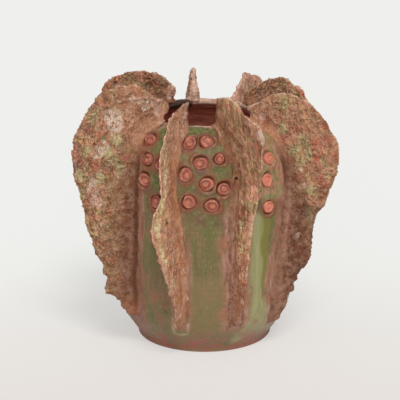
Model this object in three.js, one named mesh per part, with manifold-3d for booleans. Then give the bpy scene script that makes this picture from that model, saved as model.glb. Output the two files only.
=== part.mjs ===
// Studio pottery vase: a thrown round pot with eight slab fins luted on upright
// and clusters of pressed clay pellets set in punched pockets between them.
// Millimetres, +Z up, the front faces -Y, and the origin is the middle of the foot.
// A bearing is in degrees round the pot, 0 at the front and growing toward +X.
// A level is a height as a share of the pot's height, 0 at the foot and 1 at the rim.

import * as THREE from 'three';
import { mergeVertices } from 'three/addons/utils/BufferGeometryUtils.js';
import Module from 'manifold-3d';

const wasm = await Module();
wasm.setup();

// Thrown pot
const rimHeight = 177.5;
const footRadius = 52.3;
const bandHeight = 5;
const bandRadius = 53.4;
const swellHeight = 23.5;
const swellRadius = 65;
const haunchHeight = 48;
const haunchShare = 0.982;
const bellyHeight = 78;
const bellyRadius = 72;
const shoulderDrop = 42;
const shoulderRadius = 69.3;
const neckDrop = 13;
const neckRadius = 60;
const mouthRadius = 39.2;
const lipRound = 2.4;
const lipSteps = 5;
const wallThickness = 6;
const floorThickness = 8;
const floorCorner = 9;
const cornerSteps = 2;
const wallSteps = 17;
const potFacets = 40;

// Slab fins
const finReach = 36;
const finThickness = 5.6;
const finEdgeThickness = 3.6;
const edgeRoundShare = 0.7;
const flareWidth = 2.4;
const flareLength = 7;
const rootSink = 3;
const jointGap = 0.3;
const rippleDepth = 1.3;
const rippleWaves = 4.5;
const rippleShare = 0.27;
const raggedDepth = 1.2;
const raggedWaves = 5.5;
const driftWaves = 0.8;
const bendShare = 0.2;
const ribSteps = 22;
const bladeSteps = [0, 0.12, 0.3, 0.65, 0.94];

// Pressed clay pellets and their punched pockets
const pelletRadius = 5.2;
const pelletThickness = 2.7;
const pelletBevel = 0.4;
const pelletWaist = 1.6;
const pocketDepth = 2.7;
const pocketClear = 2;
const ringRadius = 3.1;
const ringDepth = 0.9;
const bossRadius = 1.5;
const bossRise = 0.2;
const pelletFacets = 8;

// Finishes
const glaze = { color: 0x72704a, roughness: 0.35, metalness: 0 };
const finClay = { color: 0x9c7358, roughness: 0.7, metalness: 0 };
const pelletClay = { color: 0xb4614a, roughness: 0.6, metalness: 0 };

// Each fin is a row of ribs from its foot up to its inner top corner:
// [root bearing, root level, edge bearing, edge reach, edge level].
// A reach of -1 is over the mouth's edge, 0 is in line with the belly and 1 is the widest fin's edge.
const fins = {
  left: [
    [-54, 0.15, -55, -0.03, 0.15],
    [-51, 0.24, -59, 0.37, 0.26],
    [-50, 0.33, -61.5, 0.4, 0.34],
    [-49, 0.41, -62.5, 0.52, 0.41],
    [-48, 0.48, -64, 0.68, 0.48],
    [-48, 0.62, -65.5, 0.79, 0.65],
    [-48.5, 0.75, -67, 1.01, 0.82],
    [-50, 0.83, -66.5, 0.99, 0.95],
    [-53, 0.89, -64, 0.59, 1.085],
    [-56, 0.93, -61, 0.31, 1.155],
    [-57, 0.965, -57, -0.15, 1.175],
    [-56, 0.985, -54.5, -0.67, 1.125],
    [-54, 0.998, -53, -1.07, 1.065],
  ],
  front_left: [
    [-16.5, 0.11, -16.5, 0.03, 0.12],
    [-15, 0.21, -16.5, 0.28, 0.21],
    [-14.5, 0.33, -17, 0.39, 0.34],
    [-15, 0.45, -20, 0.64, 0.47],
    [-16, 0.54, -24, 0.61, 0.56],
    [-18, 0.63, -25, 0.56, 0.65],
    [-20.5, 0.72, -23.5, 0.35, 0.73],
    [-22, 0.82, -23, 0.29, 0.86],
    [-21.5, 0.9, -21.5, 0.36, 0.99],
    [-21, 0.95, -20, 0.17, 1.065],
    [-21, 0.975, -18.5, -0.09, 1.088],
    [-21, 0.998, -17, -0.88, 1.11],
  ],
  front_right: [
    [21, 0.14, 20.5, -0.06, 0.15],
    [19.5, 0.26, 20.5, 0.25, 0.26],
    [18.5, 0.37, 20.5, 0.47, 0.38],
    [18.5, 0.5, 21.5, 0.43, 0.53],
    [19, 0.63, 24, 0.5, 0.66],
    [20.5, 0.74, 25, 0.67, 0.78],
    [22, 0.82, 25, 0.75, 0.9],
    [21.5, 0.88, 23.5, 0.97, 1.02],
    [19.5, 0.92, 21.5, 0.94, 1.08],
    [18, 0.95, 18.5, 0.54, 1.12],
    [16.5, 0.975, 15, 0.17, 1.16],
    [15, 0.998, 12, -0.88, 1.12],
  ],
  right: [
    [53, 0.11, 56, -0.09, 0.12],
    [50, 0.23, 59, 0.11, 0.24],
    [50.5, 0.33, 63, 0.27, 0.34],
    [52, 0.39, 64, 0.47, 0.4],
    [54, 0.45, 65, 0.5, 0.47],
    [58, 0.55, 67, 0.56, 0.58],
    [61, 0.65, 68.5, 0.78, 0.69],
    [63.5, 0.75, 69, 1.04, 0.82],
    [64, 0.83, 68.5, 1.01, 0.91],
    [64, 0.89, 66.5, 0.79, 1.0],
    [63.5, 0.93, 64, 0.5, 1.085],
    [62.5, 0.955, 62, 0.03, 1.13],
    [61, 0.98, 59, -0.49, 1.115],
    [58, 0.998, 54, -0.96, 1.05],
  ],
  right_rear: [
    [112, 0.14, 110, 0, 0.14],
    [110, 0.27, 107, 0.25, 0.27],
    [110, 0.4, 106, 0.39, 0.42],
    [110, 0.55, 105, 0.5, 0.6],
    [111, 0.69, 105, 0.53, 0.79],
    [112, 0.8, 105, 0.39, 0.96],
    [116, 0.885, 107, 0.17, 1.075],
    [121, 0.94, 112, -0.12, 1.115],
    [125, 0.97, 119, -0.64, 1.105],
    [127, 0.998, 128, -1.04, 1.05],
  ],
  rear_right: [
    [151, 0.14, 150, 0, 0.14],
    [149, 0.28, 147, 0.28, 0.3],
    [148, 0.44, 145, 0.5, 0.46],
    [148, 0.6, 144, 0.64, 0.64],
    [148, 0.75, 144, 0.67, 0.82],
    [148, 0.87, 145.5, 0.53, 0.98],
    [148.5, 0.94, 147, 0.25, 1.06],
    [149, 0.998, 148, -0.3, 1.11],
  ],
  rear: [
    [-170, 0.13, -170, 0, 0.13],
    [-169, 0.27, -171.5, 0.31, 0.28],
    [-169, 0.43, -172.5, 0.53, 0.45],
    [-169, 0.6, -173, 0.64, 0.63],
    [-169, 0.76, -173, 0.58, 0.83],
    [-169, 0.88, -172, 0.33, 1.0],
    [-168, 0.95, -170, -0.24, 1.09],
    [-164, 0.998, -165, -0.88, 1.14],
  ],
  rear_left: [
    [-119, 0.15, -117, 0, 0.15],
    [-117, 0.28, -114, 0.25, 0.29],
    [-116, 0.43, -112, 0.42, 0.45],
    [-116, 0.58, -111, 0.53, 0.62],
    [-117, 0.71, -111, 0.56, 0.79],
    [-118, 0.8, -112, 0.5, 0.93],
    [-121, 0.87, -113.5, 0.43, 1.05],
    [-126, 0.92, -117, 0.09, 1.12],
    [-131, 0.955, -122, -0.4, 1.142],
    [-136, 0.98, -129, -0.79, 1.133],
    [-141, 0.998, -140, -1.1, 1.06],
  ],
};

// Pellets of the three panels that face the front, as [bearing, level].
const pelletPlaces = {
  front: [
    [-11.5, 0.947],
    [1.8, 0.953],
    [10.2, 0.89],
    [-2.6, 0.873],
    [-12.2, 0.825],
    [1.2, 0.788],
    [12, 0.765],
    [-9.5, 0.712],
    [4.4, 0.697],
  ],
  left_front: [
    [-45, 0.938],
    [-41, 0.866],
    [-30, 0.852],
    [-41, 0.78],
    [-31, 0.696],
  ],
  right_front: [
    [35, 0.92],
    [48, 0.862],
    [34, 0.83],
    [43, 0.776],
    [33, 0.735],
    [43, 0.66],
  ],
};

// The other panels repeat one staggered cluster: [share of the half panel, level].
const hiddenPanels = {
  right: [63, 111],
  right_rear: [113, 148],
  rear: [148, 196],
  rear_left: [196, 241],
  left: [243, 309],
};
const cluster = [
  [-0.32, 0.92],
  [0.32, 0.885],
  [-0.06, 0.81],
  [0.36, 0.745],
  [-0.38, 0.715],
];

const lerp = THREE.MathUtils.lerp;

// A point at a bearing, radius and height.
function place(bearing, radius, height) {
  const angle = THREE.MathUtils.degToRad(bearing);
  return new THREE.Vector3(radius * Math.sin(angle), -radius * Math.cos(angle), height);
}

function reachRadius(reach) {
  return reach < 0 ? lerp(bellyRadius, mouthRadius, -reach) : bellyRadius + reach * finReach;
}

// The pot's outside, foot to lip, as the line that a throwing rib would follow.
const lipStart = THREE.MathUtils.degToRad(62);
const lipEnd = THREE.MathUtils.degToRad(225);
const lipCentre = new THREE.Vector2(mouthRadius + lipRound, rimHeight - lipRound);
const wallCurve = new THREE.SplineCurve([
  new THREE.Vector2(footRadius, 0),
  new THREE.Vector2(bandRadius, bandHeight),
  new THREE.Vector2(swellRadius, swellHeight),
  new THREE.Vector2(bellyRadius * haunchShare, haunchHeight),
  new THREE.Vector2(bellyRadius, bellyHeight),
  new THREE.Vector2(shoulderRadius, rimHeight - shoulderDrop),
  new THREE.Vector2(neckRadius, rimHeight - neckDrop),
  new THREE.Vector2(lipCentre.x + lipRound * Math.cos(lipStart), lipCentre.y + lipRound * Math.sin(lipStart)),
]);
const wallPoints = wallCurve.getPoints(wallSteps);

// Radius of the outside at a height, read off the same points that the pot is turned from.
function wallRadius(height) {
  const above = wallPoints.findIndex((point) => point.y >= height);
  if (above === 0) return wallPoints[0].x;
  if (above < 0) return wallPoints.at(-1).x;
  const low = wallPoints[above - 1];
  const high = wallPoints[above];
  return lerp(low.x, high.x, (height - low.y) / (high.y - low.y));
}

// Direction square to the wall at a bearing and height.
function wallNormal(bearing, height) {
  const step = rimHeight / 100;
  const slope = (wallRadius(height + step) - wallRadius(height - step)) / (2 * step);
  const out = place(bearing, 1, 0);
  return new THREE.Vector3(out.x, out.y, -slope).normalize();
}

function turned(profile, facets) {
  return new THREE.LatheGeometry(profile, facets).rotateX(Math.PI / 2);
}

// Closed mesh to solid, with shared corners merged and flat triangles dropped.
function toSolid(geometry) {
  const bare = geometry.clone();
  bare.deleteAttribute('normal');
  bare.deleteAttribute('uv');
  const merged = mergeVertices(bare, 1e-4);
  const corners = merged.index.array;
  const kept = [];
  for (let i = 0; i < corners.length; i += 3) {
    const [a, b, c] = corners.slice(i, i + 3);
    if (a !== b && b !== c && c !== a) kept.push(a, b, c);
  }
  return new wasm.Manifold(new wasm.Mesh({
    numProp: 3,
    vertProperties: merged.attributes.position.array,
    triVerts: new Uint32Array(kept),
  }));
}

function toGeometry(solid) {
  const mesh = solid.getMesh();
  const geometry = new THREE.BufferGeometry();
  geometry.setAttribute('position', new THREE.BufferAttribute(mesh.vertProperties, 3));
  geometry.setIndex(new THREE.BufferAttribute(mesh.triVerts, 1));
  geometry.computeVertexNormals();
  return geometry;
}

// The pot: wall, rounded lip, hollow inside and a flat foot, turned as one profile.
function potSolid() {
  const lip = new THREE.Path().absarc(lipCentre.x, lipCentre.y, lipRound, lipStart, lipEnd);
  const inside = [];
  wallPoints.forEach((point, i) => {
    const before = wallPoints[Math.max(i - 1, 0)];
    const after = wallPoints[Math.min(i + 1, wallPoints.length - 1)];
    const along = after.clone().sub(before).normalize();
    const inner = new THREE.Vector2(point.x - wallThickness * along.y, point.y + wallThickness * along.x);
    if (inner.y > floorThickness + floorCorner && inner.x > lipCentre.x + lipRound) inside.push(inner);
  });
  inside.reverse();
  const lowest = inside.at(-1);
  const corner = new THREE.QuadraticBezierCurve(
    lowest,
    new THREE.Vector2(lowest.x, floorThickness),
    new THREE.Vector2(lowest.x - floorCorner, floorThickness),
  );
  const profile = [
    new THREE.Vector2(0, 0),
    ...wallPoints.slice(0, -1),
    ...lip.getPoints(lipSteps),
    ...inside.slice(0, -1).filter((point, i) => i % 2 === 0),
    ...corner.getPoints(cornerSteps),
    new THREE.Vector2(0, floorThickness),
  ];
  return toSolid(turned(profile, potFacets));
}

// What the fins are cut to: the pot's outside with the joint gap, closed over the mouth.
function seatSolid() {
  const profile = wallPoints.map((point) => new THREE.Vector2(point.x + jointGap, point.y));
  profile[0].y = -rootSink;
  profile.at(-1).x = lipCentre.x + jointGap;
  profile.at(-1).y = rimHeight + jointGap;
  profile.unshift(new THREE.Vector2(0, -rootSink));
  profile.push(new THREE.Vector2(0, rimHeight + jointGap));
  return toSolid(turned(profile, potFacets));
}

// A fin as a loft of blade-shaped sections, one at each step along its ribs.
function finSolid(ribs, phase) {
  const roots = [];
  const elbows = [];
  const edges = [];
  for (const [rootBearing, rootLevel, edgeBearing, reach, edgeLevel] of ribs) {
    const rootHeight = rootLevel * rimHeight;
    const rootRadius = wallRadius(rootHeight);
    const edgeHeight = edgeLevel * rimHeight;
    const edgeRadius = reachRadius(reach);
    const inward = wallNormal(rootBearing, rootHeight).multiplyScalar(-rootSink);
    const elbowBearing = lerp(rootBearing, edgeBearing, bendShare);
    roots.push(place(rootBearing, rootRadius, rootHeight).add(inward));
    elbows.push(place(elbowBearing, (rootRadius + edgeRadius) / 2, (rootHeight + edgeHeight) / 2));
    edges.push(place(edgeBearing, edgeRadius, edgeHeight));
  }
  const rootCurve = new THREE.CatmullRomCurve3(roots);
  const elbowCurve = new THREE.CatmullRomCurve3(elbows);
  const edgeCurve = new THREE.CatmullRomCurve3(edges);

  // The middle surface of the slab: t runs up the fin and s runs out from the pot.
  function middle(t, s) {
    const root = rootCurve.getPoint(t);
    const elbow = elbowCurve.getPoint(t);
    const edge = edgeCurve.getPoint(t);
    const out = edge.clone().sub(root).normalize();
    const drift = Math.sin(2 * Math.PI * driftWaves * t + phase);
    const nibble = Math.sin(2 * Math.PI * raggedWaves * t + phase) * drift;
    edge.addScaledVector(out, raggedDepth * nibble);
    return new THREE.QuadraticBezierCurve3(root, elbow, edge).getPoint(s);
  }

  function across(t, s) {
    const step = 0.01;
    const up = middle(Math.min(t + step, 1), s).sub(middle(Math.max(t - step, 0), s));
    const out = middle(t, Math.min(s + step, 1)).sub(middle(t, Math.max(s - step, 0)));
    return out.cross(up).normalize();
  }

  const corners = [];
  const rows = ribSteps + 1;
  for (let row = 0; row < rows; row++) {
    const t = row / ribSteps;
    const length = middle(t, 0).distanceTo(middle(t, 1));
    const front = [];
    const back = [];
    for (const s of bladeSteps) {
      const fromWall = Math.max(s * length - rootSink, 0);
      const flare = flareWidth * Math.max(1 - fromWall / flareLength, 0) ** 2;
      const rounding = s === bladeSteps.at(-1) ? edgeRoundShare : 1;
      const half = rounding * lerp(finThickness, finEdgeThickness, s) / 2 + flare;
      const ripple = rippleDepth * s * s * Math.sin(2 * Math.PI * rippleWaves * t + phase);
      const normal = across(t, s);
      const centre = middle(t, s).addScaledVector(normal, ripple);
      front.push(centre.clone().addScaledVector(normal, half));
      back.push(centre.clone().addScaledVector(normal, -half));
    }
    const tip = middle(t, 1);
    tip.addScaledVector(across(t, 1), rippleDepth * Math.sin(2 * Math.PI * rippleWaves * t + phase));
    corners.push(...front, tip, ...back.reverse());
  }
  return toSolid(loft(corners, rows));
}

// Skin over rows of corners, each row one closed section, with both ends closed.
function loft(corners, rows) {
  const size = corners.length / rows;
  const faces = [];
  for (let row = 0; row < rows - 1; row++) {
    for (let i = 0; i < size; i++) {
      const next = (i + 1) % size;
      const a = row * size + i;
      const b = row * size + next;
      faces.push(a, b, b + size, a, b + size, a + size);
    }
  }
  const last = (rows - 1) * size;
  const outline = size - 1;
  for (let i = 0; i < outline / 2; i++) {
    const j = outline - i;
    if (j - i > 1) {
      faces.push(i, j, i + 1);
      faces.push(last + i, last + i + 1, last + j);
    }
    if (j - i > 2) {
      faces.push(i + 1, j, j - 1);
      faces.push(last + i + 1, last + j - 1, last + j);
    }
  }
  const geometry = new THREE.BufferGeometry().setFromPoints(corners);
  geometry.setIndex(faces);
  return geometry;
}

// Pellet: a clay button with a ring pressed into its face round a small boss.
function pelletGeometry() {
  const profile = [
    new THREE.Vector2(0, 0),
    new THREE.Vector2(pelletRadius - pelletBevel, 0),
    new THREE.Vector2(pelletRadius, pelletWaist),
    new THREE.Vector2((pelletRadius + ringRadius) / 2, pelletThickness),
    new THREE.Vector2(ringRadius, pelletThickness - ringDepth),
    new THREE.Vector2(bossRadius, pelletThickness),
    new THREE.Vector2(0, pelletThickness + bossRise),
  ];
  return turned(profile, pelletFacets);
}

// Cutter for one pocket: its floor, and enough height to clear the wall's curve.
function pocketSolid(spot) {
  const radius = pelletRadius + jointGap;
  const profile = [
    new THREE.Vector2(0, -pocketDepth),
    new THREE.Vector2(radius, -pocketDepth),
    new THREE.Vector2(radius, pocketClear),
    new THREE.Vector2(0, pocketClear),
  ];
  return toSolid(turned(profile, pelletFacets).applyMatrix4(spot));
}

// Every pellet's place on the wall, its axis square to the wall.
function pelletSpots() {
  const spots = new Map();
  const addSpots = (panel, places) => places.forEach(([bearing, level], i) => {
    const height = level * rimHeight;
    const normal = wallNormal(bearing, height);
    const turn = new THREE.Quaternion().setFromUnitVectors(new THREE.Vector3(0, 0, 1), normal);
    const spot = new THREE.Matrix4().compose(
      place(bearing, wallRadius(height), height),
      turn,
      new THREE.Vector3(1, 1, 1),
    );
    spots.set(`pellet_${panel}_${i + 1}`, spot);
  });
  for (const [panel, places] of Object.entries(pelletPlaces)) addSpots(panel, places);
  for (const [panel, [from, to]] of Object.entries(hiddenPanels)) {
    const middle = (from + to) / 2;
    const half = (to - from) / 2;
    addSpots(panel, cluster.map(([share, level]) => [middle + share * half, level]));
  }
  return spots;
}

function namedMesh(name, geometry, finish) {
  const mesh = new THREE.Mesh(geometry, new THREE.MeshStandardMaterial(finish));
  mesh.name = name;
  return mesh;
}

const vase = new THREE.Group();
const spots = pelletSpots();
let pot = potSolid();
let seat = seatSolid();
for (const spot of spots.values()) {
  const pocket = pocketSolid(spot);
  pot = pot.subtract(pocket);
  seat = seat.add(pocket);
}
vase.add(namedMesh('thrown_pot', toGeometry(pot), glaze));

Object.entries(fins).forEach(([side, ribs], i) => {
  const fin = finSolid(ribs, 2 * Math.PI * rippleShare * i).subtract(seat);
  vase.add(namedMesh(`fin_${side}`, toGeometry(fin), finClay));
});

const pellet = pelletGeometry();
for (const [name, spot] of spots) {
  const mesh = namedMesh(name, pellet, pelletClay);
  const seated = spot.clone().multiply(new THREE.Matrix4().makeTranslation(0, 0, jointGap - pocketDepth));
  seated.decompose(mesh.position, mesh.quaternion, mesh.scale);
  vase.add(mesh);
}

export default vase;
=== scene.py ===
"""Looks for the studio pottery vase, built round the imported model.

The shapes are worked out in millimetres and become metres when a mesh is made.
+Z is up and the front faces -Y. A bearing is in degrees round the pot, 0 at the front,
growing toward +X. Every piece rides on the one body, "root".
"""

import math
from collections import namedtuple
from functools import partial

import bmesh
import bpy
import numpy as np
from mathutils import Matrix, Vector
from mathutils.kdtree import KDTree


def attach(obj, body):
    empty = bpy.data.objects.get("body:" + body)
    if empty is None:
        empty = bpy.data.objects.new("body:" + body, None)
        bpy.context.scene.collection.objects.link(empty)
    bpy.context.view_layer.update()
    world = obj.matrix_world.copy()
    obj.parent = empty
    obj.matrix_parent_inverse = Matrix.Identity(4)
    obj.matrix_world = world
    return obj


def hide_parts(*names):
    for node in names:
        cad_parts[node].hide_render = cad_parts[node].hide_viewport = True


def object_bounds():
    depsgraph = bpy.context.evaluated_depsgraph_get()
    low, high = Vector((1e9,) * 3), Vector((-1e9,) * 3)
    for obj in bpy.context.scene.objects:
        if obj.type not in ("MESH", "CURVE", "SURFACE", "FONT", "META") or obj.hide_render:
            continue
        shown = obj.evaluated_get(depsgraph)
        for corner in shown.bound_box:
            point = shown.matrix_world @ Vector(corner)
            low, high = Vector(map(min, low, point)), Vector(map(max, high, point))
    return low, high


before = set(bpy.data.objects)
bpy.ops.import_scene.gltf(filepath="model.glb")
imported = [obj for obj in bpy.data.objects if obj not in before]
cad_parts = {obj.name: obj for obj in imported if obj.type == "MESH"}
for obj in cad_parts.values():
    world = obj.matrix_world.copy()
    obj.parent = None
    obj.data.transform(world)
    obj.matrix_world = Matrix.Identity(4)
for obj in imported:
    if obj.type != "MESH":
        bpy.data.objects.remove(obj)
cad_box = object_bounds()

MM = 0.001

# The thrown pot, in the same sizes as the CAD source.
WALL_THICKNESS = 6.0
FLOOR_THICKNESS = 8.0
FLOOR_CORNER = 9.0
LIP_ROUND = 2.4
LIP_CENTRE = (41.6, 175.1)
LIP_ARC = (62, 225)
WALL_LINE = [
    (52.3, 0), (53.4, 5), (65, 23.5), (70.7, 48), (72, 78), (69.3, 135.5), (60, 164.5), (42.73, 177.22),
]
FOOT_RADIUS = 51.3
FOOT_EDGE = [(FOOT_RADIUS, 0), (52.0, 0.35), (52.45, 1.1)]
FOOT_EDGE_TOP = 1.6
HUB_RADIUS = 1  # the ring round which each fan closes the skin
POT_COLUMNS = 720
LINE_PITCH = 4.4  # throwing lines outside
RIB_PITCH = 6  # and inside
POCKET_RADIUS = 5.5
POCKET_DEPTH = 2.7

# The slab fins.
FIN_VOXEL = 0.62
JOINT_GAP = 0.3
ROOT_SINK = JOINT_GAP + 0.2
ROOT_REACH = 2  # the part of a fin this near the wall counts as its root
FILLET = 3.6
EDGE_LIMIT = 2.2
EDGE_REACH = 6  # how far from the edge its raggedness dies out
SKIN_HEIGHT = 1.5
FOLD_WIDTH = 1.3
BOX_MARGIN = 0.05  # kept inside the CAD model's box
SMALL_MARK = 2.4  # marks up to this radius keep a clean edge
PIN_RADIUS = 0.8


def smooth(low, high, x):
    """0 below low, 1 above high, and an even blend between them."""
    t = np.clip((x - low) / (high - low), 0, 1)
    return t * t * (3 - 2 * t)


def fade(low, high, x):
    """1 below low and 0 above high."""
    return 1 - smooth(low, high, x)


def window(low, high, soft, x):
    """1 between low and high, fading to 0 over a soft margin outside them."""
    return smooth(low - soft, low, x) * fade(high, high + soft, x)


def lengths(rows):
    return np.linalg.norm(rows, axis=1)


def grain(points, size, seed=0):
    """A smooth random field from -1 to 1, with features of one size in millimetres."""
    p = points / size + 31.7 * (seed + 1)
    cell = np.floor(p).astype(np.int64)
    f = p - cell
    f = f * f * f * (f * (6 * f - 15) + 10)
    total = np.zeros(len(p))
    for corner in np.ndindex(2, 2, 2):
        c = cell + corner
        h = (c[:, 0] * 374761393 + c[:, 1] * 668265263 + c[:, 2] * 1103515245) & 0xFFFFFFFF
        h = ((h ^ (h >> 13)) * 1274126177) & 0xFFFFFFFF
        value = ((h ^ (h >> 16)) & 0xFFFF) / 32767.5 - 1
        total += value * np.prod(np.where(corner, f, 1 - f), axis=1)
    return total


def at(bearing, radius, height):
    """Points at bearings, distances from the axis and heights."""
    angle = np.radians(bearing)
    return np.stack([radius * np.sin(angle), -radius * np.cos(angle), height + 0 * angle], -1)


def bearing_of(points):
    return np.degrees(np.arctan2(points[:, 0], -points[:, 1]))


def rows_of(mesh, field):
    """One field of a mesh's corners, as rows of three."""
    out = np.zeros(len(mesh.vertices) * 3)
    mesh.vertices.foreach_get(field, out)
    return out.reshape(-1, 3)


def corners_of(mesh):
    """A mesh's corners, in millimetres."""
    return rows_of(mesh, "co") / MM


def add_mask(mesh, name, values):
    layer = mesh.attributes.new(name, "FLOAT", "POINT")
    layer.data.foreach_set("value", np.clip(values, 0, 1).astype(np.float32))


def place(name, data):
    """A new object in the scene."""
    obj = bpy.data.objects.new(name, data)
    bpy.context.scene.collection.objects.link(obj)
    return obj


def piece(name, mesh, material, slot, *nodes):
    """Puts a finished mesh in the scene, riding on the body and standing for its CAD nodes."""
    mesh.shade_smooth()
    mesh.materials.append(material)
    obj = place(name, mesh)
    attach(obj, "root")
    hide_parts(*nodes)


def turned_mesh(name, points):
    """Closed skin over rows of points, each row one ring, with a fan over the first and last ring."""
    rows, columns = points.shape[:2]
    middles = [points[0].mean(0), points[-1].mean(0)]
    corners = np.vstack([points.reshape(-1, 3), middles])
    index = np.arange(rows * columns).reshape(rows, columns)
    a, b = index[:-1], index[1:]
    quads = np.stack([a, np.roll(a, -1, 1), np.roll(b, -1, 1), b], -1).reshape(-1, 4)
    first, last = index[0], index[-1]
    foot = np.stack([np.roll(first, -1), first, np.full(columns, rows * columns)], -1)
    top = np.stack([last, np.roll(last, -1), np.full(columns, rows * columns + 1)], -1)
    mesh = bpy.data.meshes.new(name)
    mesh.from_pydata((corners * MM).tolist(), [], [*quads.tolist(), *foot.tolist(), *top.tolist()])
    return mesh


# Profile of the thrown pot

def spline(points, count):
    """Catmull-Rom line through points."""
    p = np.array(points, float)
    p = np.vstack([p[:1], p, p[-1:]])
    t = np.linspace(0, len(points) - 1, count)
    i = np.minimum(t.astype(int), len(points) - 2)
    f = (t - i)[:, None]
    p0, p1, p2, p3 = p[i], p[i + 1], p[i + 2], p[i + 3]
    v0, v1 = (p2 - p0) / 2, (p3 - p1) / 2
    return (2 * p1 - 2 * p2 + v0 + v1) * f**3 + (-3 * p1 + 3 * p2 - 2 * v0 - v1) * f**2 + v0 * f + p1


def even(line, step):
    """The same line with points about one step apart."""
    line = np.array(line, float)
    along = np.concatenate([[0], np.cumsum(lengths(np.diff(line, axis=0)))])
    t = np.linspace(0, along[-1], max(int(along[-1] / step), 1) + 1)
    return np.stack([np.interp(t, along, line[:, 0]), np.interp(t, along, line[:, 1])], -1)


def directions(line):
    """The direction along a line at each of its points."""
    along = np.gradient(line, axis=0)
    return along / lengths(along)[:, None]


wall = spline(WALL_LINE, 600)
angles = np.radians(np.linspace(*LIP_ARC, 16))
lip = LIP_CENTRE + LIP_ROUND * np.stack([np.cos(angles), np.sin(angles)], -1)
along = directions(wall)
inside = wall + WALL_THICKNESS * np.stack([-along[:, 1], along[:, 0]], -1)
above_floor = inside[:, 1] > FLOOR_THICKNESS + FLOOR_CORNER
inside = inside[above_floor & (inside[:, 0] > LIP_CENTRE[0] + LIP_ROUND)][::-1]
turn = np.linspace(0, 1, 12)[:, None]
low, bend = inside[-1], np.array([inside[-1][0], FLOOR_THICKNESS])
floor_edge = bend - (FLOOR_CORNER, 0)
floor_corner = (1 - turn) ** 2 * low + 2 * turn * (1 - turn) * bend + turn**2 * floor_edge

# The skin's rows from the middle of the foot, up the outside, down the inside and along the floor.
sections = [
    even([(HUB_RADIUS, 0), (FOOT_RADIUS, 0)], 8),
    even([*FOOT_EDGE, *wall[wall[:, 1] > FOOT_EDGE_TOP]], 0.62),
    even(lip, 0.4),
    even([lip[-1], *inside, *floor_corner[1:]], 1.6),
    even([floor_edge, (HUB_RADIUS, FLOOR_THICKNESS)], 6),
]
BOTTOM, OUTSIDE, LIP, INSIDE, FLOOR = range(5)
kinds = np.concatenate([np.full(len(s) - (i > 0), i) for i, s in enumerate(sections)])
profile = np.vstack([s[1:] if i else s for i, s in enumerate(sections)])


outer_line = even(np.vstack([wall, lip]), 0.5)
outer_along = directions(outer_line)


def wall_place(points):
    """The nearest place on the pot's outside or lip, and the wall's direction outward there."""
    radius = np.hypot(points[:, 0], points[:, 1])
    best = np.full(len(points), np.inf)
    found = np.zeros(len(points), int)
    for i, (r, z) in enumerate(outer_line):
        away = (radius - r) ** 2 + (points[:, 2] - z) ** 2
        closer = away < best
        best[closer] = away[closer]
        found[closer] = i
    around = points[:, :2] / np.maximum(radius, 1e-6)[:, None]
    spot = outer_line[found]
    out = np.stack([outer_along[found, 1], -outer_along[found, 0]], -1)
    return tuple(np.column_stack([around * flat[:, :1], flat[:, 1]]) for flat in (spot, out))


def line_gap(points, line):
    """Distance from each point to a broken line."""
    best = np.full(len(points), np.inf)
    for a, b in zip(np.array(line[:-1], float), np.array(line[1:], float)):
        t = np.clip((points - a) @ (b - a) / ((b - a) @ (b - a)), 0, 1)
        best = np.minimum(best, lengths(points - a - t[:, None] * (b - a)))
    return best


def spots(points, marks, inner, outer, ragged, rough, squash=1, clean=0):
    """The strongest of round marks (x, y, z, radius), 1 up to inner of the radius and 0 from outer of it.

    A mark larger than clean gets an edge that is ragged by that share of its radius times the rough field.
    """
    value = np.zeros(len(points))
    for x, y, z, radius in marks:
        away = lengths((points - (x, y, z)) * (1, 1, squash))
        if radius > clean:
            away += ragged * radius * rough
        value = np.maximum(value, fade(inner * radius, outer * radius, away))
    return value


# Where each CAD pellet sits and which way it faces

# Pellets that are smaller in the photograph than the rest.
SMALL = {"pellet_front_3": 0.78, "pellet_left_front_3": 0.9, "pellet_right_front_1": 0.85}


class Seat:
    """A pellet's place: the middle of its base, its axis out of the wall, and two directions across it."""

    def __init__(self, node):
        points = np.unique(corners_of(node.data).round(4), axis=0)
        middle = points.mean(0)
        axis = np.linalg.eigh(np.cov((points - middle).T))[1][:, 0]  # the way the pellet is thinnest
        if axis @ (middle * (1, 1, 0)) < 0:
            axis = -axis
        self.axis = axis
        self.size = SMALL.get(node.name, 1)
        self.base = middle + axis * ((points - middle) @ axis).min()
        side = np.cross((0, 0, 1), axis)
        self.side = side / np.linalg.norm(side)
        self.up = np.cross(axis, self.side)


seats = {name: Seat(node) for name, node in sorted(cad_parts.items()) if name.startswith("pellet_")}


# Materials. A mask is a value from 0 to 1 that a mesh carries at its corners.

def rgb(*levels):
    """A colour given as it looks on a screen, 0 to 255, turned into linear light."""
    return *(((c / 255 + 0.055) / 1.055) ** 2.4 if c > 10 else c / 255 / 12.92 for c in levels), 1


class Nodes:
    """Adds shader nodes to a tree."""

    def __init__(self, tree):
        self.tree = tree

    def add(self, kind, inputs, **settings):
        """A node, with its settings and what goes into its inputs."""
        node = self.tree.nodes.new("ShaderNode" + kind)
        for key, value in settings.items():
            setattr(node, key, value)
        self.fill(node, inputs)
        return node

    def fill(self, node, inputs):
        """Gives each input a value, another node's output, or a mask by its name."""
        for key, value in inputs.items():
            if isinstance(value, str):
                value = self.add("Attribute", {}, attribute_name=value).outputs["Fac"]
            if isinstance(value, bpy.types.NodeSocket):
                self.tree.links.new(value, node.inputs[key])
            else:
                node.inputs[key].default_value = value

    def math(self, operation, a, b):
        return self.add("Math", {0: a, 1: b}, operation=operation).outputs[0]


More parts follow.
